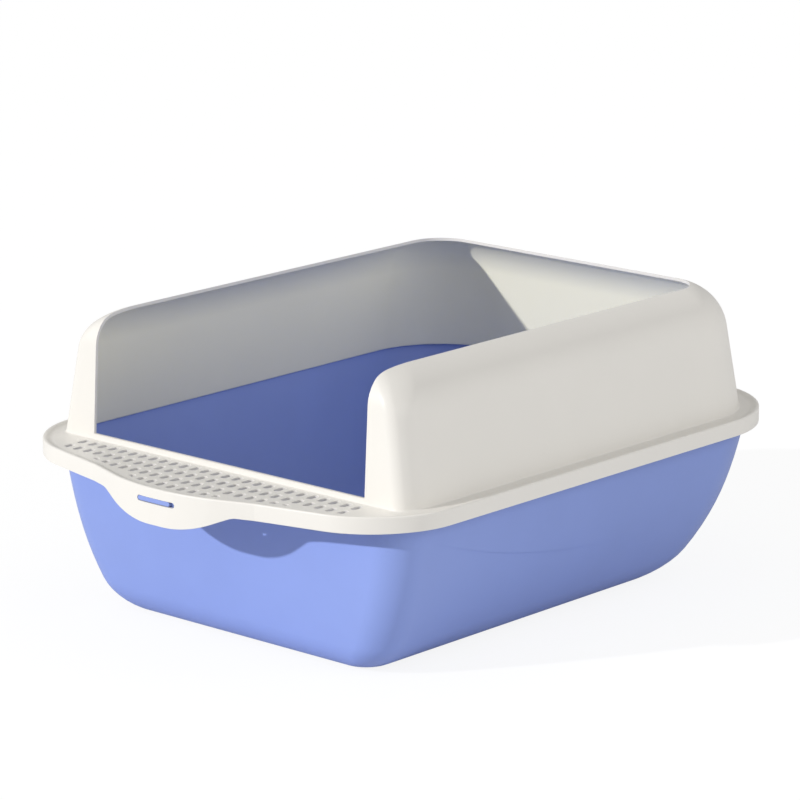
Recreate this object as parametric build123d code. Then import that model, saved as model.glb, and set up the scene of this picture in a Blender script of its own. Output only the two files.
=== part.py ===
from build123d import *
import math
import os

# Semi-enclosed litter box, in millimetres
# A deep pan stands on the floor. A tall guard with a perforated step sits over its rim.
# The origin is on the floor, in the middle of the overall length and width.
# X runs across the box, Y from the entry step to the back, and Z is up.

# Overall sizes
overall_length = 541.0
overall_width = 400.0
rest_height = 137.0
guard_rise = 103.0
skin = 2.4
skirt_gap = 0.8

# Rim outline, seen from above
step_depth = 75.5
flange_width = 16.0
corner_rear = 89.0
corner_front = 76.0
front_sweep = 13.2
tab_half_width = 84.5
tab_reach = 19.0
tab_flank = 19.3
tab_radius = 140.0
tab_crease = 3.0

# Rim section
skirt_depth = 11.6
bead_rise = 1.6
bead_width = 5.0
bead_chamfer = 1.0
lip_rise = 4.6

# Scalloped tab and its slot
scallop_depth = 15.5
scallop_top_half = 67.0
scallop_bottom_half = 40.0
scallop_top_round = 16.0
scallop_bottom_round = 42.0
slot_length = 38.8
slot_height = 4.4
slot_below_flange = 8.4

# Guard walls
wall_lean = 9.6
shoulder_radius = 40.0
return_lean = 3.0
return_corner_top = 28.0
return_edge_round = 10.0
return_turn = 24.0
return_turn_length = 17.0
return_turn_round = 42.0
opening_half = 142.5
shoulder_stop = 78.0

# Grate in the step
hole_length = 11.0
hole_width = 5.0
hole_pitch_x = 11.07
hole_pitch_y = 15.95
hole_columns = 27
hole_first_row = 9.8
hole_rows = 4
hole_border = 12.5
hole_least_area = 8.0
hole_end_sides = 4

# Pan body
pan_half_width = 187.6
pan_front_overhang = 6.2
pan_back_inset = 10.4
pan_draft_side = 49.6
pan_draft_front = 14.5
pan_draft_back = 55.8
pan_bow = 0.55
pan_corner_front = 27.0
pan_corner_back_top = 72.5
pan_corner_back_foot = 66.0
pan_corner_draw = 0.6
pan_foot_round = 25.0
pan_rim_lip = 7.0
foot_recess = 1.5
foot_ring = 9.0

# Swell on each side of the pan, above a curved crease
swell_length = 274.0
swell_middle = -35.0
swell_rise = 1.0
swell_sink = 0.1
crease_radius = 769.0
crease_middle = 105.0
crease_height = 62.2

# Litter return chute under the grate
chute_half = 150.0
chute_ledge = 5.0
chute_front_drop = 6.0
chute_back_drop = 14.0

# Snap catches on the pan
catch_end_gap = 3.4
catch_height_gap = 0.4
catch_recess = 0.3
catch_relief = 1.2
tongue_depth = 10.0
cutter_reach = 9.6

# Level sections of the lofted forms
shoulder_steps = 8
foot_steps = 5
side_steps = 6

# Worked out from the sizes above
half_width = overall_width / 2
front_y = -overall_length / 2
back_y = overall_length / 2
lip_y = front_y + step_depth
flange_top = rest_height + skin
edge_top = flange_top + bead_rise
lip_top = flange_top + lip_rise
skirt_bottom = edge_top - bead_rise - skirt_depth
scallop_bottom = skirt_bottom - scallop_depth
crest_z = rest_height + guard_rise
slot_z = flange_top - slot_below_flange
guard_half = half_width - flange_width
guard_back = back_y - flange_width
guard_corner = corner_rear - flange_width


def rounded_face(points, radii, z):
    """A flat face at height z from a closed polygon with one radius per corner."""
    outline = FilletPolyline(*points, radius=radii, close=True)
    return Pos(0, 0, z) * make_face(outline)


def prism(face, top):
    """The face, lifted straight up until it reaches the height top."""
    return extrude(face, amount=top - face.center().Z, dir=(0, 0, 1))


def rim_face(inset, z):
    """The rim's outline from above, drawn in by inset."""
    tab_corner_y = front_y + tab_reach
    tab_front_x = tab_half_width - tab_reach / math.tan(math.radians(tab_flank))
    side_corner_y = tab_corner_y + (half_width - tab_half_width) * math.tan(math.radians(front_sweep))
    right = [
        (tab_front_x, front_y),
        (tab_half_width, tab_corner_y),
        (half_width, side_corner_y),
        (half_width, back_y),
    ]
    left = [(-x, y) for x, y in reversed(right)]
    radii = [tab_radius, tab_crease, corner_front, corner_rear]
    face = rounded_face(right + left, radii + radii[::-1], z)
    if inset == 0:
        return face
    return offset(face, amount=-inset, kind=Kind.INTERSECTION)


def guard_half_at(z, inset):
    """Half the guard's width at height z: a leaning wall that turns in over a round shoulder."""
    radius = shoulder_radius - inset
    lean = math.radians(wall_lean)
    centre_z = crest_z - shoulder_radius
    centre_x = guard_half - math.tan(lean) * (centre_z - flange_top) - shoulder_radius / math.cos(lean)
    if z <= centre_z + radius * math.sin(lean):
        return centre_x + radius / math.cos(lean) + math.tan(lean) * (centre_z - z)
    return centre_x + math.sqrt(max(radius**2 - (z - centre_z) ** 2, 0))


def guard_front_at(z, inset):
    """Where the guard's front face stands at height z: a leaning face with a round top corner."""
    radius = return_corner_top - inset
    lean = math.radians(return_lean)
    centre_z = crest_z - return_corner_top
    centre_y = lip_y + math.tan(lean) * (centre_z - flange_top) + return_corner_top / math.cos(lean)
    if z <= centre_z + radius * math.sin(lean):
        return centre_y - radius / math.cos(lean) - math.tan(lean) * (centre_z - z)
    return centre_y - math.sqrt(max(radius**2 - (z - centre_z) ** 2, 0))


def guard_section(z, inset):
    """One level section of the guard's closed form."""
    half = guard_half_at(z, inset)
    drawn_in = guard_half - half
    front = guard_front_at(z, inset)
    back = guard_back - drawn_in
    turn = math.radians(return_turn)
    front_half = half - return_turn_length * math.tan(turn)
    right = [
        (front_half, front),
        (half, front + return_turn_length),
        (half, back),
    ]
    left = [(-x, y) for x, y in reversed(right)]
    edge_round = return_edge_round - inset
    radii = [edge_round, return_turn_round, guard_corner - drawn_in]
    return rounded_face(right + left, radii + radii[::-1], z)


def guard_form(inset, bottom):
    """The guard's closed form, lofted through level sections up to the shoulder."""
    radius = shoulder_radius - inset
    centre_z = crest_z - shoulder_radius
    heights = [bottom]
    for step in range(shoulder_steps + 1):
        angle = wall_lean + (shoulder_stop - wall_lean) * step / shoulder_steps
        heights.append(centre_z + radius * math.sin(math.radians(angle)))
    return loft([guard_section(z, inset) for z in heights], ruled=True)


def grate_slot(x, y, z):
    """One slot of the step, its round ends drawn with a few straight sides."""
    radius = hole_width / 2
    run = hole_length / 2 - radius
    points = []
    for end in (1, -1):
        for step in range(hole_end_sides + 1):
            angle = math.pi * step / hole_end_sides
            points.append((x + end * radius * math.cos(angle), y + end * (run + radius * math.sin(angle))))
    return Pos(0, 0, z) * make_face(Polyline(*points, close=True))


def grate_holes(z):
    """The slots of the step, cut short along a border that follows the front edge."""
    border = rim_face(hole_border, z)
    slots = []
    for row in range(hole_rows):
        y = lip_y - hole_first_row - row * hole_pitch_y
        for column in range(hole_columns):
            x = (column - (hole_columns - 1) / 2) * hole_pitch_x
            clipped = grate_slot(x, y, z) & border
            slots += [piece for piece in clipped.faces() if piece.area > hole_least_area] if clipped else []
    return slots


def scallop_face():
    """The tab's outline from the front, between the flange and its scalloped lower edge."""
    points = [
        (-half_width, flange_top),
        (-half_width, skirt_bottom),
        (-scallop_top_half, skirt_bottom),
        (-scallop_bottom_half, scallop_bottom),
        (scallop_bottom_half, scallop_bottom),
        (scallop_top_half, skirt_bottom),
        (half_width, skirt_bottom),
        (half_width, flange_top),
    ]
    face = make_face(Polyline(*points, close=True))
    bottoms = face.vertices().group_by(Axis.Y)[0]
    face = fillet(bottoms, scallop_bottom_round)
    tops = face.vertices().group_by(Axis.Y)[-2].sort_by(Axis.X)[1:-1]
    return Plane.XZ * fillet(tops, scallop_top_round)


def slot_cutter(y, length, height):
    """A slot-shaped bar along Y that passes through the skirt at y."""
    face = Pos(0, y, slot_z) * (Plane.XZ * SlotOverall(length, height))
    return extrude(face, amount=cutter_reach, both=True)


def guard():
    """The guard: step, grate, flange, skirt and walls, moulded as one."""
    shell = guard_form(0, rest_height) - guard_form(skin, rest_height)
    cut_back = guard_back - (guard_half - opening_half)
    cut_corner = guard_corner - (guard_half - opening_half)
    cut_middle = (front_y + cut_back) / 2
    opening = Pos(0, cut_middle, lip_top) * Rectangle(2 * opening_half, cut_back - front_y)
    opening = fillet(opening.vertices().group_by(Axis.Y)[-1], cut_corner)
    shell -= prism(opening, crest_z + skin)

    inside = guard_section(rest_height, skin)
    plate = prism(rim_face(0, rest_height) - grate_holes(rest_height), flange_top) - prism(inside, flange_top)

    bead = prism(rim_face(0, flange_top), edge_top) - prism(rim_face(bead_width, flange_top), edge_top)
    bead = chamfer(bead.edges().group_by(Axis.Z)[-1], bead_chamfer)

    skirt = prism(rim_face(0, skirt_bottom), flange_top) - prism(rim_face(skin, skirt_bottom), flange_top)
    tab_ring = prism(rim_face(0, scallop_bottom), flange_top)
    tab_ring -= prism(rim_face(skin, scallop_bottom), flange_top)
    tab_zone = extrude(Pos(0, lip_y, 0) * scallop_face(), amount=step_depth + skin)
    skirt += tab_ring & tab_zone

    body = shell + plate + bead + skirt
    body -= slot_cutter(front_y, slot_length, slot_height)
    body -= slot_cutter(back_y, slot_length, slot_height)
    return body


def pan_depth(z):
    """How far height z is down the pan, from 0 to 1, evenly and as the bowed walls follow it."""
    depth = (rest_height - z) / rest_height
    return depth, depth * (1 - pan_bow) + pan_bow * depth**3


def pan_section(z, inset, fillet_draw):
    """One level section of the pan, at height z, drawn in by inset and by the foot's round."""
    depth, bowed = pan_depth(z)
    drawn = inset + fillet_draw
    half = pan_half_width - pan_draft_side * bowed - drawn
    front = lip_y - pan_front_overhang + pan_draft_front * bowed + drawn
    back = back_y - pan_back_inset - pan_draft_back * bowed - drawn
    back_corner = pan_corner_back_top + (pan_corner_back_foot - pan_corner_back_top) * depth
    front_radius = max(pan_corner_front - pan_corner_draw * drawn, skin)
    back_radius = back_corner - pan_corner_draw * drawn
    points = [(half, front), (half, back), (-half, back), (-half, front)]
    return rounded_face(points, [front_radius, back_radius, back_radius, front_radius], z)


def side_height(step, low, top):
    """The height of one of the levels that divide the sides from low to top."""
    return low + (top - low) * step / side_steps


def pan_form(inset, bottom, top):
    """The pan's closed form, lofted through level sections from its rounded foot to the top."""
    foot = pan_foot_round - inset
    sections = []
    for step in range(foot_steps + 1):
        angle = math.pi / 2 * step / foot_steps
        z = bottom + foot * (1 - math.cos(angle))
        sections.append(pan_section(z, inset, foot * (1 - math.sin(angle))))
    for step in range(1, side_steps + 1):
        z = side_height(step, bottom + foot, top)
        sections.append(pan_section(z, inset, 0))
    return loft(sections, ruled=True)


def side_swell():
    """The slight swell of the right side, which fades at both ends and stops at the crease."""
    start = swell_middle - swell_length / 2
    end = swell_middle + swell_length / 2
    sections = []
    for step in range(side_steps + 1):
        z = side_height(step, pan_foot_round, rest_height)
        wall = pan_half_width - pan_draft_side * pan_depth(z)[1]
        low = (wall - swell_sink, start)
        high = (wall - swell_sink, end)
        bulge = ThreePointArc(low, (wall + swell_rise, swell_middle), high)
        sections.append(Pos(0, 0, z) * make_face([bulge, Line(high, low)]))
    above = Plane.YZ * Pos(crease_middle, crease_height + crease_radius) * Circle(crease_radius)
    return loft(sections, ruled=True) & extrude(above, amount=half_width, both=True)


def chute_form(inset, raised):
    """The sloping floor under the grate, as the space above it."""
    back_edge = lip_y + pan_corner_front
    region = rim_face(skin + skirt_gap + chute_ledge + inset, scallop_bottom)
    width = 2 * (chute_half - inset)
    zone = Pos(0, back_edge - overall_length / 2, scallop_bottom) * Rectangle(width, overall_length)
    space = prism(region & zone, rest_height)
    low_front = rest_height - skin - chute_front_drop + raised
    low_back = rest_height - skin - chute_back_drop + raised
    slope = (low_back - low_front) / (lip_y - front_y)
    floor_points = [
        (front_y, low_front),
        (back_edge, low_front + slope * (back_edge - front_y)),
        (back_edge, 0),
        (front_y, 0),
    ]
    under = extrude(Plane.YZ * make_face(Polyline(*floor_points, close=True)), amount=half_width, both=True)
    return space - under


def pan():
    """The pan: rounded walls, a flange under the guard, and the chute under the grate."""
    rim_inset = skin + skirt_gap
    flange = prism(rim_face(rim_inset, rest_height - skin), rest_height)
    lip = prism(rim_face(rim_inset, rest_height - pan_rim_lip), rest_height)
    lip -= prism(rim_face(rim_inset + skin, rest_height - pan_rim_lip), rest_height)
    relief = slot_length - 2 * catch_end_gap + 2 * catch_relief
    relief_box = Box(relief, overall_length + skin, pan_rim_lip)
    lip -= Pos(0, 0, rest_height - skin - pan_rim_lip / 2) * relief_box
    swell = side_swell()
    body = flange + lip + pan_form(0, 0, rest_height) + swell + mirror(swell, Plane.YZ) + chute_form(0, 0)
    body -= pan_form(skin, skin, rest_height + skin)
    body -= chute_form(skin, skin)
    body -= prism(pan_section(0, 0, pan_foot_round + foot_ring), foot_recess)
    return split(body, Plane.XY, keep=Keep.TOP)


def catch(side):
    """A flexing tongue under the pan's flange, with a nose that stands in the guard's slot."""
    nose_length = slot_length - 2 * catch_end_gap
    edge_y = side * back_y
    top = rest_height - skin
    ring_inset = skin + skirt_gap
    tongue = prism(rim_face(ring_inset, top - tongue_depth), top)
    tongue -= prism(rim_face(ring_inset + skin, top - tongue_depth), top)
    tongue &= Pos(0, edge_y, top - tongue_depth / 2) * Box(nose_length, step_depth, tongue_depth)
    nose = slot_cutter(edge_y, nose_length, slot_height - 2 * catch_height_gap)
    nose_ring = prism(rim_face(catch_recess, top - tongue_depth), top)
    nose_ring -= prism(rim_face(ring_inset + skin / 2, top - tongue_depth), top)
    return tongue + (nose & nose_ring)


pieces = {
    "base_pan": pan(),
    "guard_frame": guard(),
    "front_catch": catch(-1),
    "rear_catch": catch(1),
}

os.makedirs("parts", exist_ok=True)
for name, shape in pieces.items():
    export_step(shape, f"parts/{name}.step")
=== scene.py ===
import math

import bmesh
import bpy
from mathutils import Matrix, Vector


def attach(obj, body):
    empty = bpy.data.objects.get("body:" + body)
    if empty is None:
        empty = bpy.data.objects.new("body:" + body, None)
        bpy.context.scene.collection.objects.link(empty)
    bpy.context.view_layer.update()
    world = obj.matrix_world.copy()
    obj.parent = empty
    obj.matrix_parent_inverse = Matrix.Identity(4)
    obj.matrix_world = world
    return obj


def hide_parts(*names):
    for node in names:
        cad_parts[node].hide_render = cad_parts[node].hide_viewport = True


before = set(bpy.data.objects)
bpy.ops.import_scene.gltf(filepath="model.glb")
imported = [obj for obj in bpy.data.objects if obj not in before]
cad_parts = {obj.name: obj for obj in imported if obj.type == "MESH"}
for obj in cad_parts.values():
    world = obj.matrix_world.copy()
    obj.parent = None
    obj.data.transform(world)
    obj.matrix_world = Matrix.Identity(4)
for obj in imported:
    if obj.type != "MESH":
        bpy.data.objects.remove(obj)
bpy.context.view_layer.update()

bl_info = {
    "name": "Litter Box Dressing",
    "version": (1, 0, 0),
    "blender": (4, 5, 0),
    "location": "View3D > Sidebar > Litter Box",
    "description": "Builds the smooth visible mouldings, plastics and stage of a semi-enclosed litter box",
    "category": "Object",
}

MM = 0.001

# Points closer than WELD are one point, and FLAT keeps two loops from lying at one height
WELD = 1e-6
FLAT = 1e-5
MATCH_LIFT = Vector((0, 0, 0.5))
SMOOTH_ANGLE = math.radians(35)

# The share of a half width that the bevel of a round end takes
ROUND_END = 0.98

# Rim outline, seen from above
FLANGE_WIDTH = 16 * MM
CORNER_FRONT = 76 * MM
CORNER_REAR = 89 * MM
FRONT_SWEEP = math.radians(13.2)
TAB_HALF = 84.5 * MM
TAB_REACH = 19 * MM
TAB_FLANK = math.radians(19.3)
TAB_RADIUS = 140 * MM
TAB_CREASE = 3 * MM

# Tab's lower edge and its slot
SCALLOP_TOP_HALF = 67 * MM
SCALLOP_BOTTOM_HALF = 30 * MM
SCALLOP_TOP_ROUND = 16 * MM
SCALLOP_BOTTOM_ROUND = 110 * MM
SLOT_HALF_LENGTH = 19.4 * MM
SLOT_HALF_HEIGHT = 2.2 * MM
SLOT_BELOW_STEP = 8.4 * MM

# Guard's front edges and the lines where it meets the step
RETURN_CORNER = 28 * MM
RETURN_LEAN = math.radians(3)
RETURN_EDGE_ROUND = 10 * MM
RETURN_TURN = math.radians(24)
RETURN_TURN_LENGTH = 17 * MM
RETURN_TURN_ROUND = 42 * MM
OUTER_FOOT_RISE = 1.2 * MM
INNER_FOOT_RISE = 1.1 * MM
SHORT_EDGE = 0.8 * MM

# Rim's section
BEAD_RISE = 1.6 * MM
SKIRT_GAP = 0.8 * MM

# Grate in the step
HOLE_PITCH_X = 11.07 * MM
HOLE_PITCH_Y = 15.95 * MM
HOLE_COLUMNS = 27
HOLE_ROWS = 4
HOLE_FIRST_ROW = 9.8 * MM
HOLE_BORDER = 12.5 * MM
HOLE_LEAST_AREA = 8e-6
HOLE_SOFT_EDGE = 0.45 * MM

# Pan
PAN_HALF_WIDTH = 187.6 * MM
PAN_FRONT_OVERHANG = 6.2 * MM
PAN_BACK_INSET = 10.4 * MM
PAN_DRAFT_SIDE = 49.6 * MM
PAN_DRAFT_FRONT = 14.5 * MM
PAN_DRAFT_BACK = 55.8 * MM
PAN_BOW = 0.55
PAN_CORNER_FRONT = 27 * MM
PAN_CORNER_BACK = 72.5 * MM
PAN_CORNER_BACK_DROP = 6.5 * MM
PAN_CORNER_DRAW = 0.6
PAN_LIP = 7 * MM
PAN_LIP_SOFT_EDGE = 0.5 * MM
FOOT_RING = 9 * MM
FOOT_STEP = 10 * MM
FOOT_RECESS = 1.5 * MM

# Swell on each side of the pan, above a curved crease
SWELL_MIDDLE = -35 * MM
SWELL_HALF = 137 * MM
SWELL_RISE = 1.0 * MM
SWELL_SINK = 0.1 * MM
SWELL_DEPTH = 1.6 * MM
SWELL_BELOW_REST = 1 * MM
CREASE_RADIUS = 769 * MM
CREASE_MIDDLE = 105 * MM
CREASE_HEIGHT = 62.2 * MM

# Litter chute under the grate
CHUTE_HALF = 150 * MM
CHUTE_LEDGE = 5 * MM
CHUTE_FRONT_DROP = 6 * MM
CHUTE_FALL = 8 * MM
CHUTE_BACK_OUTSIDE = -199.3 * MM
CHUTE_BACK_INSIDE = -188 * MM
CHUTE_TOP_GAP = 0.6 * MM

# Catches and the gaps that they flex in
TONGUE_HALF = 16 * MM
TONGUE_DEPTH = 10 * MM
TONGUE_NEAR = 3.6 * MM
TONGUE_FAR = 5.6 * MM
TONGUE_ROUND = 0.4 * MM
NOSE_RECESS = 0.6 * MM
NOSE_HALF_HEIGHT = 1.8 * MM
NOSE_LENGTH = 3.4 * MM
NOSE_ROUND = 0.6 * MM
NOSE_REACH = {"front_catch": (-19 * MM, 14.4 * MM), "rear_catch": (-16 * MM, 16 * MM)}
NOTCH_HALF = 17.2 * MM
NOTCH_DEPTH = 6 * MM
NOTCH_CLEAR = 1 * MM
NOTCH_REACH = 7 * MM

# Stage
WHITE = (1, 1, 1, 1)
FLOOR_HALF = 30
FLOOR_GREY = 0.8
FLOOR_GLOW = 1.09
FLOOR_GLOW_SHARE = 0.8
KEY_DIRECTION = (0.4, 1.0, -0.45)
KEY_ANGLE = math.radians(1.5)
FILL_PLACE = (2.1, 0.3, 0.95)
FILL_TARGET = (0, 0, 0.1)
FILL_WIDTH = 2.0
FILL_HEIGHT = 1.2
CAMERA_PLACE = (2.09706, -2.34706, 0.95218)
CAMERA_AZIMUTH = math.radians(41.728)
CAMERA_ELEVATION = math.radians(14.1555)
CAMERA_LENS = 184.41
SENSOR_WIDTH = 36
CAMERA_CLIP_END = 100


class BoxSizes(bpy.types.PropertyGroup):
    """Sizes of the pan and the guard, the same as the solid model's."""

    half_width: bpy.props.FloatProperty(
        name="Half width",
        description="From the middle to the skirt's side",
        default=0.2,
        unit="LENGTH",
    )
    half_length: bpy.props.FloatProperty(
        name="Half length",
        description="From the middle to the tab or the back",
        default=0.2705,
        unit="LENGTH",
    )
    rest_height: bpy.props.FloatProperty(
        name="Rest height",
        description="Where the guard rests on the pan",
        default=0.137,
        unit="LENGTH",
    )
    guard_rise: bpy.props.FloatProperty(
        name="Guard rise",
        description="Guard's height over the rest height",
        default=0.103,
        unit="LENGTH",
    )
    skin: bpy.props.FloatProperty(
        name="Skin",
        description="Wall thickness of both mouldings",
        default=0.0024,
        unit="LENGTH",
    )
    step_depth: bpy.props.FloatProperty(
        name="Step depth",
        description="From the tab's front to the entry lip",
        default=0.0755,
        unit="LENGTH",
    )
    lip_rise: bpy.props.FloatProperty(
        name="Lip rise",
        description="Entry lip's height over the step",
        default=0.0046,
        unit="LENGTH",
    )
    skirt_depth: bpy.props.FloatProperty(
        name="Skirt depth",
        description="Skirt's depth under the step's top",
        default=0.0116,
        unit="LENGTH",
    )
    scallop_depth: bpy.props.FloatProperty(
        name="Scallop depth",
        description="How far the tab hangs below the skirt",
        default=0.0155,
        unit="LENGTH",
    )
    opening_half: bpy.props.FloatProperty(
        name="Opening half width",
        description="Half the width of the open top",
        default=0.1425,
        unit="LENGTH",
    )
    shoulder_radius: bpy.props.FloatProperty(
        name="Shoulder radius",
        description="Round between wall and top edge",
        default=0.04,
        unit="LENGTH",
    )
    wall_lean: bpy.props.FloatProperty(
        name="Wall lean",
        description="Guard wall's lean inward",
        default=math.radians(9.6),
        subtype="ANGLE",
    )
    hole_length: bpy.props.FloatProperty(
        name="Slot length",
        description="Length of a slot in the step",
        default=0.011,
        unit="LENGTH",
    )
    hole_width: bpy.props.FloatProperty(
        name="Slot width",
        description="Width of a slot in the step",
        default=0.005,
        unit="LENGTH",
    )
    foot_round: bpy.props.FloatProperty(
        name="Foot round",
        description="Radius round the pan's foot",
        default=0.025,
        unit="LENGTH",
    )


class BoxFinish(bpy.types.PropertyGroup):
    """Colours and surface of the two plastics. The guard's inner side takes a lighter, warmer copy of its
    white, which is painted light.
    """

    pan_colour: bpy.props.FloatVectorProperty(
        name="Pan colour",
        description="Periwinkle blue of the pan",
        default=(0.260, 0.346, 0.722),
        subtype="COLOR",
        size=3,
    )
    guard_colour: bpy.props.FloatVectorProperty(
        name="Guard colour",
        description="Warm white of the guard",
        default=(0.80, 0.775, 0.728),
        subtype="COLOR",
        size=3,
    )
    # Painted light: the guard's white is made lighter and warmer for its inner side. It stands in for the
    # brighter lit inside and offsets the blue light bounced up from the pan.
    inner_painted_light_colour: bpy.props.FloatVectorProperty(
        name="Inner colour",
        description="White of the guard's inner side",
        default=(0.885, 0.855, 0.70),
        subtype="COLOR",
        size=3,
    )
    gloss: bpy.props.FloatProperty(
        name="Gloss",
        description="How polished the mouldings are",
        default=0.64,
        subtype="FACTOR",
        min=0,
        max=1,
    )
    grain: bpy.props.FloatProperty(
        name="Grain",
        description="Depth of the fine moulded grain",
        default=0.00004,
        unit="LENGTH",
    )


class StageLook(bpy.types.PropertyGroup):
    """Strengths of the studio lights."""

    sun: bpy.props.FloatProperty(
        name="Key",
        description="Strength of the low front light",
        default=2.4,
    )
    sky: bpy.props.FloatProperty(
        name="Sky",
        description="Strength of the even light all round",
        default=0.5,
    )
    fill: bpy.props.FloatProperty(
        name="Fill",
        description="Power of the soft light at the right",
        default=13.0,
        unit="POWER",
    )


def unique(items):
    """The items without repeats, in the order in which they come, so that every run is the same."""
    return list(dict.fromkeys(items))


# Outlines

def rounded_loop(bm, corners, radii, z, segments, cuts=None):
    """The edges of a level loop through the corners, each rounded by its own radius."""
    known = set(bm.edges)
    verts = [bm.verts.new((x, y, z)) for x, y in corners]
    bm.faces.new(verts)
    count = len(corners)
    for index, vert in enumerate(verts):
        here = Vector(corners[index])
        back = Vector(corners[index - 1]) - here
        ahead = Vector(corners[(index + 1) % count]) - here
        reach = radii[index] / math.tan(back.angle(ahead) / 2)
        bmesh.ops.bevel(
            bm,
            geom=[vert],
            offset=reach,
            offset_type="OFFSET",
            segments=segments[index],
            profile=0.5,
            affect="VERTICES",
            material=-1,
        )
    edges = [edge for edge in bm.edges if edge not in known]
    faces = unique(face for edge in edges for face in edge.link_faces)
    bmesh.ops.delete(bm, geom=faces, context="FACES_ONLY")
    if cuts:
        cuts(bm, edges)
    return [edge for edge in bm.edges if edge not in known]


def inset_corners(corners, inset):
    """A polygon's corners, each moved in by the same distance from both its sides."""
    moved = []
    count = len(corners)
    for index in range(count):
        here = Vector(corners[index])
        arrive = (here - Vector(corners[index - 1])).normalized()
        leave = (Vector(corners[(index + 1) % count]) - here).normalized()
        inward_a = Vector((-arrive.y, arrive.x))
        inward_b = Vector((-leave.y, leave.x))
        shift = (inward_a + inward_b) * (inset / (1 + inward_a.dot(inward_b)))
        moved.append(tuple(here + shift))
    return moved


def mirrored(right):
    """The right half's corners, front to back, and then the left half's, back to front."""
    return right + [(-x, y) for x, y in reversed(right)]


def bridge(bm, *loops):
    """Joins each loop of edges to the next, which is lifted clear while the two are matched."""
    for low, high in zip(loops, loops[1:]):
        verts = unique(vert for edge in high for vert in edge.verts)
        bmesh.ops.translate(bm, verts=verts, vec=MATCH_LIFT)
        bmesh.ops.bridge_loops(bm, edges=low + high)
        bmesh.ops.translate(bm, verts=verts, vec=-MATCH_LIFT)


def fill_level(bm, *loops):
    """Fills the level region between the outer loop and the loops inside it."""
    edges = [edge for loop in loops for edge in loop]
    bmesh.ops.triangle_fill(bm, use_beauty=True, edges=edges, normal=(0, 0, 1))


def open_edges(bm):
    """The edges that border only one face."""
    return [edge for edge in bm.edges if len(edge.link_faces) == 1]


def smoothed(piece):
    """Shades the piece smooth up to the sharp angle, with the large faces in the lead."""
    piece.data.shade_smooth()
    piece.data.set_sharp_from_angle(angle=SMOOTH_ANGLE)
    weighted = piece.modifiers.new("Even shading", "WEIGHTED_NORMAL")
    weighted.keep_sharp = True


def finished(bm, name, body, node, materials):
    """The mesh as a shown piece on its body, closed, facing out and smooth up to an angle."""
    bmesh.ops.remove_doubles(bm, verts=bm.verts, dist=WELD)
    bmesh.ops.recalc_face_normals(bm, faces=bm.faces)
    if any(len(edge.link_faces) != 2 for edge in bm.edges):
        raise RuntimeError(name + " is not a closed moulding")
    mesh = bpy.data.meshes.new(name)
    bm.to_mesh(mesh)
    bm.free()
    piece = bpy.data.objects.new(name, mesh)
    bpy.context.collection.objects.link(piece)
    for material in materials:
        mesh.materials.append(material)
    smoothed(piece)
    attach(piece, body)
    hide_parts(node)
    return piece


def solid_tool(bm, name):
    """The mesh as a loose solid that cuts or joins another one."""
    bmesh.ops.remove_doubles(bm, verts=bm.verts, dist=WELD)
    bmesh.ops.recalc_face_normals(bm, faces=bm.faces)
    mesh = bpy.data.meshes.new(name)
    bm.to_mesh(mesh)
    bm.free()
    tool = bpy.data.objects.new(name, mesh)
    bpy.context.collection.objects.link(tool)
    return tool


def combine(piece, tool, operation):
    """Cuts the tool out of the piece, or joins it on, and takes the tool away."""
    piece.modifiers.clear()
    boolean = piece.modifiers.new("Combine", "BOOLEAN")
    boolean.operation = operation
    boolean.solver = "EXACT"
    boolean.object = tool
    evaluated = piece.evaluated_get(bpy.context.evaluated_depsgraph_get())
    piece.data = bpy.data.meshes.new_from_object(evaluated)
    piece.modifiers.clear()
    bpy.data.objects.remove(tool)
    smoothed(piece)


def block(bm, low, high):
    """A box between two corners."""
    low, high = Vector(low), Vector(high)
    made = bmesh.ops.create_cube(bm, size=1)
    bmesh.ops.scale(bm, vec=high - low, verts=made["verts"])
    bmesh.ops.translate(bm, vec=(low + high) / 2, verts=made["verts"])


# The guard's outlines

def rim_corners(size, inset):
    """The rim's polygon from above, drawn in, and its corner radii."""
    front = -size.half_length
    tab_y = front + TAB_REACH
    right = [
        (TAB_HALF - TAB_REACH / math.tan(TAB_FLANK), front),
        (TAB_HALF, tab_y),
        (size.half_width, tab_y + (size.half_width - TAB_HALF) * math.tan(FRONT_SWEEP)),
        (size.half_width, size.half_length),
    ]
    radii = [TAB_RADIUS - inset, TAB_CREASE + inset, CORNER_FRONT - inset, CORNER_REAR - inset]
    return inset_corners(mirrored(right), inset), radii + radii[::-1]


def cut_tab_runs(bm, edges):
    """Divides the tab's straight runs, so that its lower edge can curve."""
    least_run, reach = 20 * MM, 80 * MM
    runs = [edge for edge in edges if edge.calc_length() > least_run]
    flanks = [edge for edge in runs if abs(middle(edge).x) < reach and middle(edge).y < 0]
    bmesh.ops.subdivide_edges(bm, edges=flanks, cuts=9)


def middle(edge):
    """The middle of an edge."""
    return (edge.verts[0].co + edge.verts[1].co) / 2


def rim_loop(bm, size, inset, z):
    """One level loop of the rim."""
    corners, radii = rim_corners(size, inset)
    segments = [14, 3, 14, 18]
    return rounded_loop(bm, corners, radii, z, segments + segments[::-1], cut_tab_runs)


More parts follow.
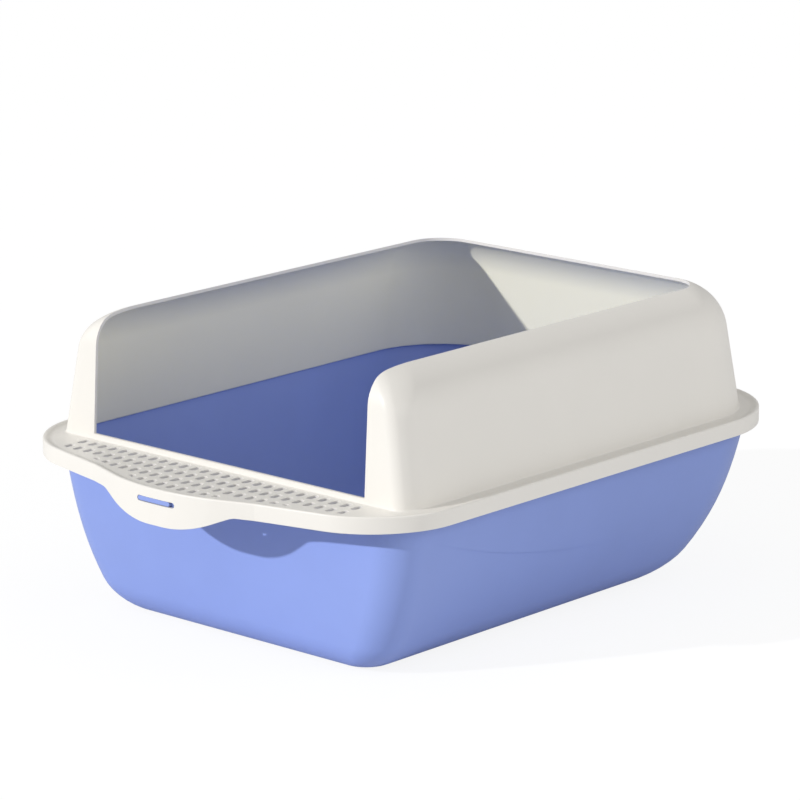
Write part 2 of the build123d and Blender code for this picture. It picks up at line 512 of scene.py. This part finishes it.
def scallop_drop(size, x):
    """How far the tab's lower edge hangs below the skirt at x."""
    slope = math.atan2(size.scallop_depth, SCALLOP_TOP_HALF - SCALLOP_BOTTOM_HALF)
    top_reach = SCALLOP_TOP_ROUND * math.tan(slope / 2)
    bottom_reach = SCALLOP_BOTTOM_ROUND * math.tan(slope / 2)
    out = abs(x)
    top_start = SCALLOP_TOP_HALF + top_reach
    top_end = SCALLOP_TOP_HALF - top_reach * math.cos(slope)
    bottom_start = SCALLOP_BOTTOM_HALF + bottom_reach * math.cos(slope)
    bottom_end = SCALLOP_BOTTOM_HALF - bottom_reach
    if out >= top_start:
        return 0.0
    if out > top_end:
        return SCALLOP_TOP_ROUND - math.sqrt(SCALLOP_TOP_ROUND**2 - (top_start - out) ** 2)
    if out > bottom_start:
        return (SCALLOP_TOP_HALF - out) * math.tan(slope)
    if out > bottom_end:
        lift = SCALLOP_BOTTOM_ROUND - math.sqrt(SCALLOP_BOTTOM_ROUND**2 - (out - bottom_end) ** 2)
        return size.scallop_depth - lift
    return size.scallop_depth


def guard_half_at(size, z, inset):
    """Half the guard's width at height z."""
    radius = size.shoulder_radius - inset
    lean = size.wall_lean
    foot = size.half_width - FLANGE_WIDTH
    centre_z = size.rest_height + size.guard_rise - size.shoulder_radius
    drop = centre_z - size.rest_height - size.skin
    centre_x = foot - math.tan(lean) * drop - size.shoulder_radius / math.cos(lean)
    if z <= centre_z + radius * math.sin(lean):
        return centre_x + radius / math.cos(lean) + math.tan(lean) * (centre_z - z)
    return centre_x + math.sqrt(max(radius**2 - (z - centre_z) ** 2, 0))


def guard_front_at(size, z, inset):
    """Where the guard's front face stands at height z."""
    radius = RETURN_CORNER - inset
    lean = RETURN_LEAN
    centre_z = size.rest_height + size.guard_rise - RETURN_CORNER
    drop = centre_z - size.rest_height - size.skin
    centre_y = step_back(size) + math.tan(lean) * drop + RETURN_CORNER / math.cos(lean)
    if z <= centre_z + radius * math.sin(lean):
        return centre_y - radius / math.cos(lean) - math.tan(lean) * (centre_z - z)
    return centre_y - math.sqrt(max(radius**2 - (z - centre_z) ** 2, 0))


def step_back(size):
    """Where the step ends and the entry lip stands."""
    return -size.half_length + size.step_depth


def guard_loop(bm, size, z, inset):
    """One level loop of the guard's wall."""
    half = guard_half_at(size, z, inset)
    foot = size.half_width - FLANGE_WIDTH
    drawn_in = foot - half
    front = guard_front_at(size, z, inset)
    back = size.half_length - FLANGE_WIDTH - drawn_in
    turn_in = RETURN_TURN_LENGTH * math.tan(RETURN_TURN)
    right = [(half - turn_in, front), (half, front + RETURN_TURN_LENGTH), (half, back)]
    radii = [RETURN_EDGE_ROUND - inset, RETURN_TURN_ROUND, CORNER_REAR - FLANGE_WIDTH - drawn_in]
    segments = [8, 5, 20]
    corners = mirrored(right)
    return rounded_loop(bm, corners, radii + radii[::-1], z, segments + segments[::-1])


def wall_heights(size, inset, lowest):
    """The heights of a wall surface's loops, close together over the shoulder."""
    radius = size.shoulder_radius - inset
    centre_z = size.rest_height + size.guard_rise - size.shoulder_radius
    centre_x = guard_half_at(size, centre_z + radius, inset)
    top = math.acos((size.opening_half - centre_x) / radius)
    lip_top = size.rest_height + size.skin + size.lip_rise
    start = centre_z + radius * math.sin(size.wall_lean)
    heights = [lowest, lip_top]
    rows, turns = 5, 18
    heights += [lip_top + (start - lip_top) * step / rows for step in range(1, rows)]
    for step in range(turns + 1):
        angle = size.wall_lean + (top - size.wall_lean) * step / turns
        heights.append(centre_z + radius * math.sin(angle))
    return heights


def open_front(bm, size, faces):
    """Cuts the entry out of the front wall, between the returns and above the lip."""
    for side in (-1, 1):
        region = [face for face in faces if face.is_valid]
        edges = unique(edge for face in region for edge in face.edges)
        verts = unique(vert for face in region for vert in face.verts)
        cut = bmesh.ops.bisect_plane(
            bm,
            geom=region + edges + verts,
            dist=WELD,
            plane_co=(side * size.opening_half, 0, 0),
            plane_no=(1, 0, 0),
        )
        faces = [item for item in cut["geom"] if isinstance(item, bmesh.types.BMFace)]
    gone = [face for face in faces if abs(face.calc_center_median().x) < size.opening_half]
    bmesh.ops.delete(bm, geom=gone, context="FACES")


def wall_surface(bm, size, inset, lowest):
    """One skin of the guard's wall, open at the top and at the entry. Gives its lowest loop."""
    loops = [guard_loop(bm, size, z, inset) for z in wall_heights(size, inset, lowest)]
    known = set(bm.faces)
    bridge(bm, *loops)
    fresh = [face for face in bm.faces if face not in known]
    front_zone = 50 * MM
    near_front = step_back(size) + front_zone
    lip_top = size.rest_height + size.skin + size.lip_rise
    front = [
        face
        for face in fresh
        if all(vert.co.y < near_front and vert.co.z > lip_top - WELD for vert in face.verts)
    ]
    open_front(bm, size, front)
    return loops[0]


# The grate's slots

def border_at(points, x):
    """The y of the border's front line at x, and its slope there."""
    for (x0, y0), (x1, y1) in zip(points, points[1:]):
        if x0 <= x <= x1:
            slope = (y1 - y0) / (x1 - x0)
            return y0 + slope * (x - x0), slope
    return None, 0.0


def border_points(size, inset):
    """The front of the rim's outline, drawn in, as points from left to right."""
    scratch = bmesh.new()
    rim_loop(scratch, size, inset, 0)
    furthest = step_back(size) + 10 * MM
    front = [tuple(vert.co.xy) for vert in scratch.verts if vert.co.y < furthest]
    scratch.free()
    return sorted(front)


def slot_loop(bm, size, x, y, z, grow, border):
    """A slot's loop of edges at height z, cut short at the border, or nothing."""
    half_width = size.hole_width / 2 + grow
    half_length = size.hole_length / 2 + grow
    known = set(bm.edges)
    around = [(-1, -1), (1, -1), (1, 1), (-1, 1)]
    verts = [bm.verts.new((x + sx * half_width, y + sy * half_length, z)) for sx, sy in around]
    bm.faces.new(verts)
    reach = half_width * ROUND_END
    bmesh.ops.bevel(bm, geom=verts, offset=reach, segments=5, profile=0.5, affect="VERTICES", material=-1)
    line, slope = border_at(border, x)
    fresh = [edge for edge in bm.edges if edge not in known]
    faces = unique(face for edge in fresh for face in edge.link_faces)
    points = unique(vert for edge in fresh for vert in edge.verts)
    if line is None:
        bmesh.ops.delete(bm, geom=points, context="VERTS")
        return []
    normal = Vector((-slope, 1, 0)).normalized()
    place = Vector((x, line, z)) - normal * grow
    bmesh.ops.bisect_plane(
        bm, geom=faces + fresh + points, dist=WELD, plane_co=place, plane_no=normal, clear_inner=True
    )
    edges = [edge for edge in bm.edges if edge not in known]
    faces = unique(face for edge in edges for face in edge.link_faces)
    if not faces:
        return []
    bmesh.ops.delete(bm, geom=faces, context="FACES_ONLY")
    return edges


def slot_area(size, x, y, border):
    """How much of a slot lies inside the border."""
    scratch = bmesh.new()
    edges = slot_loop(scratch, size, x, y, 0, 0, border)
    if not edges:
        scratch.free()
        return 0.0
    face = bmesh.ops.edgeloop_fill(scratch, edges=edges)["faces"][0]
    area = face.calc_area()
    scratch.free()
    return area


def grate_slots(bm, size, top, bottom):
    """Every slot's walls. Gives the edges of their top loops and of their bottom loops."""
    border = border_points(size, HOLE_BORDER)
    soft = HOLE_SOFT_EDGE
    tops, bottoms = [], []
    for row in range(HOLE_ROWS):
        y = step_back(size) - HOLE_FIRST_ROW - row * HOLE_PITCH_Y
        for column in range(HOLE_COLUMNS):
            x = (column - (HOLE_COLUMNS - 1) / 2) * HOLE_PITCH_X
            if slot_area(size, x, y, border) < HOLE_LEAST_AREA:
                continue
            high = slot_loop(bm, size, x, y, top, soft, border)
            rounded = slot_loop(bm, size, x, y, top - soft * 0.35, soft * 0.25, border)
            lower = slot_loop(bm, size, x, y, top - soft * 1.2, 0, border)
            low = slot_loop(bm, size, x, y, bottom, 0, border)
            bridge(bm, high, rounded, lower, low)
            tops += high
            bottoms += low
    return tops, bottoms


# Plastics

class Number:
    """A shader socket that takes part in ordinary arithmetic."""

    def __init__(self, finish, socket):
        self.finish = finish
        self.socket = socket

    def combine(self, operation, first, second):
        """A Math node on two values or sockets."""
        return self.finish.number("ShaderNodeMath", {"operation": operation}, {0: first, 1: second})

    def __add__(self, other):
        return self.combine("ADD", self, other)

    def __radd__(self, other):
        return self.combine("ADD", other, self)

    def __sub__(self, other):
        return self.combine("SUBTRACT", self, other)

    def __rsub__(self, other):
        return self.combine("SUBTRACT", other, self)

    def __mul__(self, other):
        return self.combine("MULTIPLY", self, other)

    def __rmul__(self, other):
        return self.combine("MULTIPLY", other, self)


class Finish:
    """A material or a world whose nodes are made one call at a time."""

    def __init__(self, owner, output_kind):
        owner.use_nodes = True
        self.owner = owner
        self.tree = owner.node_tree
        self.tree.nodes.clear()
        self.output = self.tree.nodes.new(output_kind)

    def node(self, kind, settings=None, inputs=None):
        """A node of that kind, with its settings first and then its sockets' values or links."""
        made = self.tree.nodes.new(kind)
        for name, value in (settings or {}).items():
            setattr(made, name, value)
        for key, value in (inputs or {}).items():
            if isinstance(value, Number):
                value = value.socket
            if isinstance(value, bpy.types.NodeSocket):
                self.tree.links.new(value, made.inputs[key])
            else:
                made.inputs[key].default_value = value
        return made

    def number(self, kind, settings=None, inputs=None):
        """The first output of a new node, ready for arithmetic."""
        return Number(self, self.node(kind, settings, inputs).outputs[0])

    def place(self):
        """The object's own coordinates."""
        return self.node("ShaderNodeTexCoord").outputs["Object"]

    def noise(self, scale, detail=3.0, roughness=0.5):
        """Soft noise over the surface, between 0 and 1."""
        inputs = {"Vector": self.place(), "Scale": scale, "Detail": detail, "Roughness": roughness}
        return self.number("ShaderNodeTexNoise", None, inputs)

    def between(self, value, low, high):
        """0 below low and 1 above high, with a smooth rise."""
        settings = {"interpolation_type": "SMOOTHSTEP"}
        inputs = {"Value": value, "From Min": low, "From Max": high}
        return self.number("ShaderNodeMapRange", settings, inputs)

    def mixed(self, factor, first, second):
        """A colour between two colours."""
        settings = {"data_type": "RGBA"}
        return self.node("ShaderNodeMix", settings, {0: factor, 6: first, 7: second}).outputs[2]

    def surface(self, shader):
        """Sends a shader to the output."""
        self.tree.links.new(shader.outputs[0], self.output.inputs["Surface"])
        return self.owner


def new_finish(name):
    """A material without any shader yet."""
    return Finish(bpy.data.materials.new(name), "ShaderNodeOutputMaterial")


def shade(colour, factor):
    """The colour made lighter or darker."""
    return tuple(channel * factor for channel in colour) + (1.0,)


def moulded_plastic(name, colour, look, dim, wear):
    """Injection-moulded plastic: fine grain, faint flow marks, and patches that handling has dulled."""
    finish = new_finish(name)
    flow = finish.noise(scale=7.0, detail=2.0)
    cloud = finish.noise(scale=26.0, detail=4.0)
    streaks = finish.between(flow * 0.6 + cloud * 0.4, low=0.35, high=0.65)
    tint = finish.mixed(streaks, shade(colour, dim), shade(colour, 1.0))
    dulled = finish.between(finish.noise(scale=11.0, detail=5.0, roughness=0.6), low=0.5, high=0.72)
    fine = finish.noise(scale=900.0, detail=2.0)
    grain = finish.noise(scale=1500.0, detail=3.0, roughness=0.6) + cloud * 1.5
    bump = finish.node(
        "ShaderNodeBump",
        None,
        {"Strength": 0.35, "Distance": look.grain, "Height": grain},
    )
    shader = finish.node(
        "ShaderNodeBsdfPrincipled",
        None,
        {
            "Base Color": tint,
            "Roughness": (1.0 - look.gloss) + dulled * wear + fine * 0.06,
            "IOR": 1.49,
            "Specular IOR Level": 0.4,
            "Normal": bump.outputs[0],
        },
    )
    return finish.surface(shader)


def plastic(context, kind):
    """The pan's or the guard's plastic, made once."""
    look = context.scene.litter_box_finish
    if kind in bpy.data.materials:
        return bpy.data.materials[kind]
    colour, dim, wear = {
        "pan_plastic": (look.pan_colour, 0.965, 0.05),
        "guard_plastic": (look.guard_colour, 0.985, 0.04),
        # The inner side's material is a lighter, warmer copy of the guard's white: painted light, not a
        # different plastic.
        "guard_plastic_inside_painted_lighter": (look.inner_painted_light_colour, 0.985, 0.04),
    }[kind]
    return moulded_plastic(kind, colour, look, dim, wear)


# The pan's outlines

def pan_depth(size, z):
    """How far height z is down the pan, from 0 to 1, evenly and as the bowed walls follow it."""
    depth = (size.rest_height - z) / size.rest_height
    return depth, depth * (1 - PAN_BOW) + PAN_BOW * depth**3


def pan_half_at(size, z):
    """Half the pan's width at height z."""
    return PAN_HALF_WIDTH - PAN_DRAFT_SIDE * pan_depth(size, z)[1]


def pan_loop(bm, size, z, inset, drawn):
    """One level loop of the pan at height z, drawn in by the skin and by the foot's round."""
    depth, bowed = pan_depth(size, z)
    whole = inset + drawn
    half = pan_half_at(size, z) - whole
    front = step_back(size) - PAN_FRONT_OVERHANG + PAN_DRAFT_FRONT * bowed + whole
    back = size.half_length - PAN_BACK_INSET - PAN_DRAFT_BACK * bowed - whole
    front_radius = max(PAN_CORNER_FRONT - PAN_CORNER_DRAW * whole, size.skin)
    back_radius = PAN_CORNER_BACK - PAN_CORNER_BACK_DROP * depth - PAN_CORNER_DRAW * whole
    right = [(half, front), (half, back)]
    radii = [front_radius, back_radius]
    segments = [12, 18]
    return rounded_loop(bm, mirrored(right), radii + radii[::-1], z, segments + segments[::-1])


def pan_surface(bm, size, inset, bottom, top):
    """One skin of the pan. Gives its lowest and highest loops."""
    foot = size.foot_round - inset
    loops = []
    turns = 9
    for step in range(turns + 1):
        angle = math.pi / 2 * step / turns
        z = bottom + foot * (1 - math.cos(angle))
        loops.append(pan_loop(bm, size, z, inset, foot * (1 - math.sin(angle))))
    rows = 12
    for step in range(1, rows + 1):
        z = bottom + foot + (top - bottom - foot) * step / rows
        loops.append(pan_loop(bm, size, z, inset, 0))
    bridge(bm, *loops)
    return loops[0], loops[-1]


def chute_tool(size, inset, back, top):
    """The chute under the grate as a solid, from its sloping floor up to the top."""
    bm = bmesh.new()
    outline = rim_loop(bm, size, size.skin + SKIRT_GAP + CHUTE_LEDGE + inset, top)
    bmesh.ops.edgeloop_fill(bm, edges=outline)
    half = CHUTE_HALF - inset
    cuts = [((half, 0, 0), (1, 0, 0)), ((-half, 0, 0), (-1, 0, 0)), ((0, back, 0), (0, 1, 0))]
    for place, normal in cuts:
        geometry = bm.verts[:] + bm.edges[:] + bm.faces[:]
        bmesh.ops.bisect_plane(
            bm,
            geom=geometry,
            dist=WELD,
            plane_co=place,
            plane_no=normal,
            clear_outer=True,
        )
    pushed = bmesh.ops.extrude_face_region(bm, geom=bm.faces[:])
    front = -size.half_length
    low_front = size.rest_height - size.skin - CHUTE_FRONT_DROP + inset
    slope = -CHUTE_FALL / size.step_depth
    for item in pushed["geom"]:
        if isinstance(item, bmesh.types.BMVert):
            item.co.z = low_front + slope * (item.co.y - front)
    return solid_tool(bm, "chute_tool")


def side_swells(size):
    """The slight swell of both sides of the pan above a curved crease."""
    bm = bmesh.new()
    top = size.rest_height - SWELL_BELOW_REST
    for side in (-1, 1):
        made = bmesh.ops.create_grid(bm, x_segments=60, y_segments=24, size=1)
        for vert in made["verts"]:
            y = SWELL_MIDDLE + vert.co.x * SWELL_HALF
            dip = math.sqrt(CREASE_RADIUS**2 - (y - CREASE_MIDDLE) ** 2)
            crease = CREASE_HEIGHT + CREASE_RADIUS - dip
            z = crease + (top - crease) * (vert.co.y + 1) / 2
            out = SWELL_RISE - (SWELL_RISE + SWELL_SINK) * vert.co.x**2
            vert.co = (side * (pan_half_at(size, z) + out), y, z)
        faces = unique(face for vert in made["verts"] for face in vert.link_faces)
        pushed = bmesh.ops.extrude_face_region(bm, geom=faces)
        verts = [item for item in pushed["geom"] if isinstance(item, bmesh.types.BMVert)]
        bmesh.ops.translate(bm, verts=verts, vec=(-side * SWELL_DEPTH, 0, 0))
    return solid_tool(bm, "swell_tool")


def lip_notches(size):
    """The gaps in the pan's lip that the catches flex in."""
    bm = bmesh.new()
    top = size.rest_height - size.skin
    outside, inside = size.half_length + NOTCH_CLEAR, size.half_length - NOTCH_REACH
    for side in (-1, 1):
        near, far = sorted((side * inside, side * outside))
        block(bm, (-NOTCH_HALF, near, top - NOTCH_DEPTH), (NOTCH_HALF, far, top))
    return solid_tool(bm, "notch_tool")


def catch_piece(context, side):
    """One catch: a tongue under the flange and a nose that stands in the guard's slot."""
    size = context.scene.litter_box_sizes
    bm = bmesh.new()
    top = size.rest_height - size.skin
    near, far = sorted((side * (size.half_length - TONGUE_NEAR), side * (size.half_length - TONGUE_FAR)))
    block(bm, (-TONGUE_HALF, near, top - TONGUE_DEPTH), (TONGUE_HALF, far, top))
    bmesh.ops.bevel(
        bm, geom=bm.edges[:], offset=TONGUE_ROUND, segments=2, profile=0.5, affect="EDGES", material=-1
    )
    name = "front_catch" if side < 0 else "rear_catch"
    left, right = NOSE_REACH[name]
    front = side * (size.half_length - NOSE_RECESS)
    slot_bar(bm, size, front, left, right, NOSE_HALF_HEIGHT, -side * NOSE_LENGTH)
    rims = [edge for edge in bm.edges if all(abs(vert.co.y - front) < WELD for vert in edge.verts)]
    bmesh.ops.bevel(bm, geom=rims, offset=NOSE_ROUND, segments=3, profile=0.5, affect="EDGES", material=-1)
    finished(bm, name + "_moulding", "pan", name, [plastic(context, "pan_plastic")])


# The pieces

class LITTERBOX_OT_guard(bpy.types.Operator):
    """Build the guard: leaning walls, perforated step, rim and scalloped tab, as one moulding"""

    bl_idname = "litterbox.guard"
    bl_label = "Guard"

    def execute(self, context):
        size = context.scene.litter_box_sizes
        bm = bmesh.new()
        top = size.rest_height + size.skin
        under = size.rest_height
        outer_foot = wall_surface(bm, size, 0, top + OUTER_FOOT_RISE)
        outer_faces = set(bm.faces)
        inner_foot = wall_surface(bm, size, size.skin, under + INNER_FOOT_RISE)
        # The inner wall's faces take the lighter painted-light copy of the guard's white, and the outer
        # faces take the plain white.
        for face in bm.faces:
            face.material_index = 0 if face in outer_faces else 1
        feet = set(outer_foot) | set(inner_foot)
        rims = [edge for edge in open_edges(bm) if edge not in feet]
        close = unique(vert for edge in rims for vert in edge.verts)
        bmesh.ops.remove_doubles(bm, verts=close, dist=SHORT_EDGE)
        rims = [edge for edge in open_edges(bm) if edge not in feet]
        known = set(bm.faces)
        bmesh.ops.bridge_loops(bm, edges=rims)
        for face in bm.faces:
            if face not in known:
                face.material_index = 0

        # The inner wall's foot turns outwards into the plate's underside
        soft_foot = [inner_foot]
        for inset, up in [(size.skin - 0.3 * MM, 0.4 * MM), (size.skin - 0.9 * MM, 0.0)]:
            soft_foot.append(guard_loop(bm, size, under + up, inset))
        bridge(bm, *soft_foot)
        inner_foot = soft_foot[-1]

        # The outer wall's foot runs out onto the plate's top
        crease = [(0.35 * MM, 0.5 * MM), (1.2 * MM, 0.0)]
        foot_loops = [outer_foot]
        for out, up in crease:
            foot_loops.append(guard_loop(bm, size, top + up, -out))
        bridge(bm, *foot_loops)

        rim_outer = self.rim(bm, size, top, under)
        slots_top, slots_bottom = grate_slots(bm, size, top, under)
        fill_level(bm, rim_outer[1], foot_loops[-1], slots_top)
        fill_level(bm, rim_outer[0], inner_foot, slots_bottom)
        materials = [plastic(context, "guard_plastic"), plastic(context, "guard_plastic_inside_painted_lighter")]
        guard = finished(bm, "guard_moulding", "guard", "guard_frame", materials)
        combine(guard, catch_slots(size), "DIFFERENCE")
        return {"FINISHED"}

    def rim(self, bm, size, top, under):
        """The skirt, the tab and the bead. Gives the loop under the step and the loop on top of it."""
        low = top - size.skirt_depth
        bead = BEAD_RISE
        profile = [
            (size.skin, under),
            (size.skin, low + 0.4 * MM),
            (size.skin - 0.4 * MM, low + FLAT),
            (0.6 * MM, low),
            (0.17 * MM, low + 0.18 * MM),
            (0.0, low + 0.6 * MM),
            (0.0, top + bead - 1.3 * MM),
            (0.17 * MM, top + bead - 0.65 * MM),
            (0.65 * MM, top + bead - 0.17 * MM),
            (1.3 * MM, top + bead - FLAT),
            (2.2 * MM, top + bead),
            (3.2 * MM, top + bead - 0.2 * MM),
            (4.4 * MM, top + 0.85 * MM),
            (5.6 * MM, top + 0.35 * MM),
            (7.0 * MM, top + 0.08 * MM),
            (8.4 * MM, top),
        ]
        loops = [rim_loop(bm, size, inset, z) for inset, z in profile]
        skirt_foot = 1 * MM
        for loop, (_inset, z) in zip(loops, profile):
            if z < low + skirt_foot:
                for vert in unique(vert for edge in loop for vert in edge.verts):
                    if vert.co.y < step_back(size):
                        vert.co.z -= scallop_drop(size, vert.co.x)
        bridge(bm, *loops)
        return loops[0], loops[-1]


def slot_bar(bm, size, y, start, end, half_height, reach):
    """A bar with round ends, from start to end along X, that runs along Y from y by the reach."""
    z = size.rest_height + size.skin - SLOT_BELOW_STEP
    known = set(bm.faces)
    around = [(start, -half_height), (end, -half_height), (end, half_height), (start, half_height)]
    verts = [bm.verts.new((x, y, z + up)) for x, up in around]
    bm.faces.new(verts)
    reach_in = half_height * ROUND_END
    bmesh.ops.bevel(bm, geom=verts, offset=reach_in, segments=8, profile=0.5, affect="VERTICES", material=-1)
    faces = [face for face in bm.faces if face not in known]
    pushed = bmesh.ops.extrude_face_region(bm, geom=faces)
    verts = [item for item in pushed["geom"] if isinstance(item, bmesh.types.BMVert)]
    bmesh.ops.translate(bm, verts=verts, vec=(0, reach, 0))


def catch_slots(size):
    """The two slots in the skirt that the pan's catches stand in."""
    bm = bmesh.new()
    clear, reach = 4 * MM, 12 * MM
    for side in (-1, 1):
        start = side * (size.half_length + clear)
        slot_bar(bm, size, start, -SLOT_HALF_LENGTH, SLOT_HALF_LENGTH, SLOT_HALF_HEIGHT, -side * reach)
    return solid_tool(bm, "slot_tool")


class LITTERBOX_OT_pan(bpy.types.Operator):
    """Build the pan: rounded walls, floor, flange and foot ring"""

    bl_idname = "litterbox.pan"
    bl_label = "Pan"

    def execute(self, context):
        size = context.scene.litter_box_sizes
        bm = bmesh.new()
        rest = size.rest_height
        skin = size.skin
        foot_loop, outer_top = pan_surface(bm, size, 0, 0, rest - skin)
        floor_loop, inner_top = pan_surface(bm, size, skin, skin, rest)
        ring = pan_loop(bm, size, FLAT, 0, size.foot_round + FOOT_RING)
        step = pan_loop(bm, size, FOOT_RECESS, 0, size.foot_round + FOOT_STEP)
        bridge(bm, foot_loop, ring, step)
        bmesh.ops.edgeloop_fill(bm, edges=step)
        bmesh.ops.edgeloop_fill(bm, edges=floor_loop)

        rim = skin + SKIRT_GAP
        lip = rest - PAN_LIP
        soft = PAN_LIP_SOFT_EDGE
        profile = [
            (rim + skin, rest - skin),
            (rim + skin, lip + soft),
            (rim + skin - soft, lip + FLAT),
            (rim + soft, lip),
            (rim, lip + soft),
            (rim, rest - soft),
            (rim + soft, rest),
        ]
        loops = [rim_loop(bm, size, inset, z) for inset, z in profile]
        bridge(bm, *loops)
        fill_level(bm, loops[0], outer_top)
        fill_level(bm, loops[-1], inner_top)
        material = plastic(context, "pan_plastic")
        pan = finished(bm, "pan_moulding", "pan", "base_pan", [material])
        combine(pan, side_swells(size), "UNION")
        combine(pan, chute_tool(size, 0, CHUTE_BACK_OUTSIDE, rest - CHUTE_TOP_GAP), "UNION")
        combine(pan, chute_tool(size, skin, CHUTE_BACK_INSIDE, rest + skin), "DIFFERENCE")
        combine(pan, lip_notches(size), "DIFFERENCE")
        return {"FINISHED"}


class LITTERBOX_OT_catches(bpy.types.Operator):
    """Build the two snap catches under the pan's flange"""

    bl_idname = "litterbox.catches"
    bl_label = "Catches"

    def execute(self, context):
        catch_piece(context, -1)
        catch_piece(context, 1)
        return {"FINISHED"}


def facing(direction):
    """The turn that points a lamp or a camera along the direction."""
    return Vector(direction).to_track_quat("-Z", "Y").to_euler()


class LITTERBOX_OT_stage(bpy.types.Operator):
    """Set the floor, the soft studio light and the camera"""

    bl_idname = "litterbox.stage"
    bl_label = "Stage"

    def execute(self, context):
        look = context.scene.litter_box_stage
        scene = context.scene
        scene.view_settings.view_transform = "Standard"
        self.floor()
        self.sky(scene, look)
        self.lamps(look)
        self.camera(scene)
        return {"FINISHED"}

    def floor(self):
        """A plain pale floor that keeps a light shadow."""
        bm = bmesh.new()
        bmesh.ops.create_grid(bm, x_segments=1, y_segments=1, size=FLOOR_HALF)
        mesh = bpy.data.meshes.new("floor")
        bm.to_mesh(mesh)
        bm.free()
        floor = bpy.data.objects.new("floor", mesh)
        bpy.context.collection.objects.link(floor)
        finish = new_finish("floor_white")
        matt = finish.node("ShaderNodeBsdfDiffuse", None, {"Color": shade((FLOOR_GREY,) * 3, 1)})
        glow = finish.node("ShaderNodeEmission", None, {"Color": WHITE, "Strength": FLOOR_GLOW})
        path = finish.node("ShaderNodeLightPath")
        share = Number(finish, path.outputs["Is Camera Ray"]) * FLOOR_GLOW_SHARE
        mix = finish.node("ShaderNodeMixShader", None, {0: share, 1: matt.outputs[0], 2: glow.outputs[0]})
        mesh.materials.append(finish.surface(mix))

    def sky(self, scene, look):
        """Even light all round, white behind the object."""
        scene.world = bpy.data.worlds.new("studio")
        finish = Finish(scene.world, "ShaderNodeOutputWorld")
        path = finish.node("ShaderNodeLightPath")
        even = finish.node("ShaderNodeBackground", None, {"Color": WHITE, "Strength": look.sky})
        white = finish.node("ShaderNodeBackground", None, {"Color": WHITE, "Strength": 1.0})
        inputs = {0: path.outputs["Is Camera Ray"], 1: even.outputs[0], 2: white.outputs[0]}
        finish.surface(finish.node("ShaderNodeMixShader", None, inputs))

    def lamps(self, look):
        """A low key light from the front and a broad soft one at the right."""
        key = bpy.data.lights.new("key", "SUN")
        key.energy = look.sun
        key.angle = KEY_ANGLE
        lamp = bpy.data.objects.new("key", key)
        lamp.rotation_euler = facing(KEY_DIRECTION)
        bpy.context.collection.objects.link(lamp)
        fill = bpy.data.lights.new("fill", "AREA")
        fill.shape = "RECTANGLE"
        fill.size = FILL_WIDTH
        fill.size_y = FILL_HEIGHT
        fill.energy = look.fill
        lamp = bpy.data.objects.new("fill", fill)
        lamp.location = FILL_PLACE
        lamp.rotation_euler = facing(Vector(FILL_TARGET) - Vector(FILL_PLACE))
        bpy.context.collection.objects.link(lamp)

    def camera(self, scene):
        """The camera at the photograph's place."""
        data = bpy.data.cameras.new("camera")
        data.lens = CAMERA_LENS
        data.sensor_width = SENSOR_WIDTH
        data.clip_end = CAMERA_CLIP_END
        camera = bpy.data.objects.new("camera", data)
        camera.location = CAMERA_PLACE
        level = math.cos(CAMERA_ELEVATION)
        across, ahead = -math.sin(CAMERA_AZIMUTH) * level, math.cos(CAMERA_AZIMUTH) * level
        camera.rotation_euler = facing((across, ahead, -math.sin(CAMERA_ELEVATION)))
        bpy.context.collection.objects.link(camera)
        scene.camera = camera


class LITTERBOX_PT_panel(bpy.types.Panel):
    """The litter box's pieces in the sidebar"""

    bl_idname = "LITTERBOX_PT_panel"
    bl_label = "Litter Box"
    bl_space_type = "VIEW_3D"
    bl_region_type = "UI"
    bl_category = "Litter Box"

    def draw(self, context):
        for operator in OPERATORS:
            self.layout.operator(operator.bl_idname)
        for group in ("litter_box_sizes", "litter_box_finish", "litter_box_stage"):
            settings = getattr(context.scene, group)
            for name in settings.__annotations__:
                self.layout.prop(settings, name)


OPERATORS = (LITTERBOX_OT_guard, LITTERBOX_OT_pan, LITTERBOX_OT_catches, LITTERBOX_OT_stage)
CLASSES = (BoxSizes, BoxFinish, StageLook, *OPERATORS, LITTERBOX_PT_panel)


def register():
    """Registers the classes and gives the scene its settings."""
    for each in CLASSES:
        bpy.utils.register_class(each)
    bpy.types.Scene.litter_box_sizes = bpy.props.PointerProperty(type=BoxSizes)
    bpy.types.Scene.litter_box_finish = bpy.props.PointerProperty(type=BoxFinish)
    bpy.types.Scene.litter_box_stage = bpy.props.PointerProperty(type=StageLook)


def unregister():
    """Takes away the scene's settings and the classes."""
    del bpy.types.Scene.litter_box_stage
    del bpy.types.Scene.litter_box_finish
    del bpy.types.Scene.litter_box_sizes
    for each in reversed(CLASSES):
        bpy.utils.unregister_class(each)


def main():
    """Builds every piece and the stage."""
    register()
    bpy.ops.litterbox.guard()
    bpy.ops.litterbox.pan()
    bpy.ops.litterbox.catches()
    bpy.ops.litterbox.stage()


if __name__ == "__main__":
    main()
